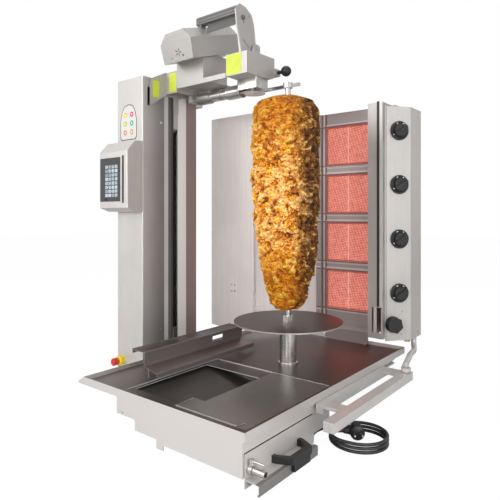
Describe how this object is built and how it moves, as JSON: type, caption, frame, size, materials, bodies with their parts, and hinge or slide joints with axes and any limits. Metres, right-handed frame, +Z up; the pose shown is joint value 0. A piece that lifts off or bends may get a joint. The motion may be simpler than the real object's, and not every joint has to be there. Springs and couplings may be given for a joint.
{
  "type": "automatic doner kebab grill",
  "caption": "Gas doner grill with a turning spit, a lifting arm with a round blade, ceramic burners on a sliding unit, control tower and drip drawer.",
  "frame": {"origin": "on the table, in the middle of the round centre foot under the spit axis", "axes": "+Z up along the spit axis, +X to the right along the front fascia, +Y to the back, where the burners stand"},
  "size_m": [1.019, 0.963, 1.2487],
  "materials": {
    "sheet_steel": "satin brushed sheet",
    "light_steel": "satin brushed sheet",
    "polished_steel": "polished bar",
    "black_plastic": "fine grain",
    "grey_plastic": "satin",
    "screen_glass": "gloss",
    "ceramic": "porous glowing ceramic",
    "meat": "roasted and moist",
    "black_rubber": "matte",
    "yellow_plastic": "gloss",
    "red_plastic": "gloss",
    "motor_grey": "cast",
    "gas_brass": "drawn pipe"
  },
  "bodies": {
    "base": {"top_plate": "sheet_steel", "base_housing": "sheet_steel", "meat_chute": "sheet_steel", "feet": "black_rubber", "under_frame": "sheet_steel", "pedestal_tube": "light_steel", "spit_gearmotor": "motor_grey", "tower_cabinet": "light_steel", "hmi_box": "grey_plastic", "touch_screen": "screen_glass", "estop_collar": "yellow_plastic", "column_housing": "sheet_steel", "lift_rail": "polished_steel", "lift_motor": "motor_grey", "deflector_trough": "sheet_steel", "spit_support": "polished_steel", "cord_gland": "black_plastic", "cord_lead": "black_rubber", "cord_coil": "black_rubber", "cord_tail": "black_rubber", "mains_plug": "black_rubber"},
    "drawer": {"drawer_box": "sheet_steel", "drawer_handle": "black_plastic", "drain_valve": "polished_steel"},
    "drain_lever": {"drain_lever": "polished_steel"},
    "well_cover": {"slide_cover": "sheet_steel"},
    "spit": {"turntable": "light_steel", "spit_rod": "polished_steel", "doner_meat": "meat", "drive_shaft": "polished_steel"},
    "motor_pinion": {"motor_pinion": "motor_grey"},
    "lift_screw": {"lift_screw": "polished_steel"},
    "panel_button": {"hmi_button": "black_plastic"},
    "stop_button": {"estop_button": "red_plastic"},
    "carriage": {"carriage_spine": "light_steel", "arm_frame": "light_steel", "arm_end_block": "light_steel", "cutter_drive": "light_steel"},
    "lock_knob": {"ball_knob": "black_plastic"},
    "depth_adjuster": {"depth_adjuster": "polished_steel"},
    "blade": {"blade_disc": "polished_steel"},
    "head": {"head_cover": "light_steel", "head_side_plate": "light_steel", "handle_bar": "light_steel"},
    "burner_unit": {"burner_frame": "sheet_steel", "burner_casings": "sheet_steel", "burner_tiles": "ceramic", "gas_manifold": "gas_brass", "side_shield": "sheet_steel", "oblique_panel": "sheet_steel", "knob_panel": "light_steel", "link_tube": "polished_steel", "slide_frame": "sheet_steel"},
    "wing": {"wing_panel": "sheet_steel"},
    "gas_knob_a": {"gas_knob_1": "black_plastic"},
    "gas_knob_b": {"gas_knob_2": "black_plastic"},
    "gas_knob_c": {"gas_knob_3": "black_plastic"},
    "gas_knob_d": {"gas_knob_4": "black_plastic"},
    "unit_knob": {"burner_motor_knob": "black_plastic"}
  },
  "joints": [
    {"name": "drawer_slide", "type": "slide", "parent": "base", "child": "drawer", "axis": [1, 0, 0], "range_m": [0, 0.2]},
    {"name": "drain_lever_turn", "type": "hinge", "parent": "drawer", "child": "drain_lever", "pos_m": [0.2243, -0.464, 0.06], "axis": [0, 0, 1], "range_deg": [0, 90]},
    {"name": "well_cover_slide", "type": "slide", "parent": "base", "child": "well_cover", "axis": [-1, 0, 0], "range_m": [0, 0.175]},
    {"name": "spit_spin", "type": "hinge", "parent": "base", "child": "spit", "pos_m": [0, 0, 0.3], "axis": [0, 0, 1], "continuous": true},
    {"name": "pinion_spin", "type": "hinge", "parent": "base", "child": "motor_pinion", "pos_m": [-0.0562, 0, 0.05], "axis": [0, 0, 1], "continuous": true},
    {"name": "carriage_lift", "type": "slide", "parent": "base", "child": "carriage", "axis": [0, 0, 1], "range_m": [-0.69, 0]},
    {"name": "lift_screw_spin", "type": "hinge", "parent": "base", "child": "lift_screw", "pos_m": [-0.545, 0.045, 0.5], "axis": [0, 0, 1], "range_deg": [-9940, 0]},
    {"name": "panel_button_press", "type": "slide", "parent": "base", "child": "panel_button", "axis": [0, 1, 0], "range_m": [0, 0.0015], "stiffness_N_per_m": 600, "springref_m": -0.0008},
    {"name": "stop_button_press", "type": "slide", "parent": "base", "child": "stop_button", "axis": [0, 1, 0], "range_m": [0, 0.005], "stiffness_N_per_m": 800, "springref_m": -0.002},
    {"name": "head_tilt", "type": "hinge", "parent": "carriage", "child": "head", "pos_m": [-0.3, 0.02, 1.118], "axis": [-1, 0, 0], "range_deg": [0, 20]},
    {"name": "lock_knob_pull", "type": "slide", "parent": "carriage", "child": "lock_knob", "axis": [1, 0, 0], "range_m": [0, 0.008], "stiffness_N_per_m": 900, "springref_m": -0.004},
    {"name": "depth_adjuster_turn", "type": "hinge", "parent": "carriage", "child": "depth_adjuster", "pos_m": [-0.37, 0.025, 0.99], "axis": [1, 0, 0], "range_deg": [-180, 180]},
    {"name": "blade_spin", "type": "hinge", "parent": "carriage", "child": "blade", "pos_m": [-0.158, 0.025, 0.975], "axis": [0, 0, 1], "continuous": true},
    {"name": "burner_unit_slide", "type": "slide", "parent": "base", "child": "burner_unit", "axis": [0, 1, 0], "range_m": [-0.08, 0]},
    {"name": "wing_fold", "type": "hinge", "parent": "burner_unit", "child": "wing", "pos_m": [-0.299, 0.205, 0.5], "axis": [0, 0, 1], "range_deg": [-45, 0]},
    {"name": "gas_knob_a_turn", "type": "hinge", "parent": "burner_unit", "child": "gas_knob_a", "pos_m": [0.21094, 0.35188, 0.855], "axis": [0.763, -0.6464, 0], "range_deg": [0, 200]},
    {"name": "gas_knob_b_turn", "type": "hinge", "parent": "burner_unit", "child": "gas_knob_b", "pos_m": [0.21094, 0.35188, 0.674], "axis": [0.763, -0.6464, 0], "range_deg": [0, 200]},
    {"name": "gas_knob_c_turn", "type": "hinge", "parent": "burner_unit", "child": "gas_knob_c", "pos_m": [0.21094, 0.35188, 0.491], "axis": [0.763, -0.6464, 0], "range_deg": [0, 200]},
    {"name": "gas_knob_d_turn", "type": "hinge", "parent": "burner_unit", "child": "gas_knob_d", "pos_m": [0.21094, 0.35188, 0.3095], "axis": [0.763, -0.6464, 0], "range_deg": [0, 200]},
    {"name": "unit_knob_turn", "type": "hinge", "parent": "burner_unit", "child": "unit_knob", "pos_m": [0.19569, 0.33388, 0.205], "axis": [0.763, -0.6464, 0], "range_deg": [-150, 150]}
  ],
  "couplings": [
    {"joint": "pinion_spin", "follows": "spit_spin", "ratio": -2.5},
    {"joint": "lift_screw_spin", "follows": "carriage_lift", "rad_per_m": 251.33}
  ]
}
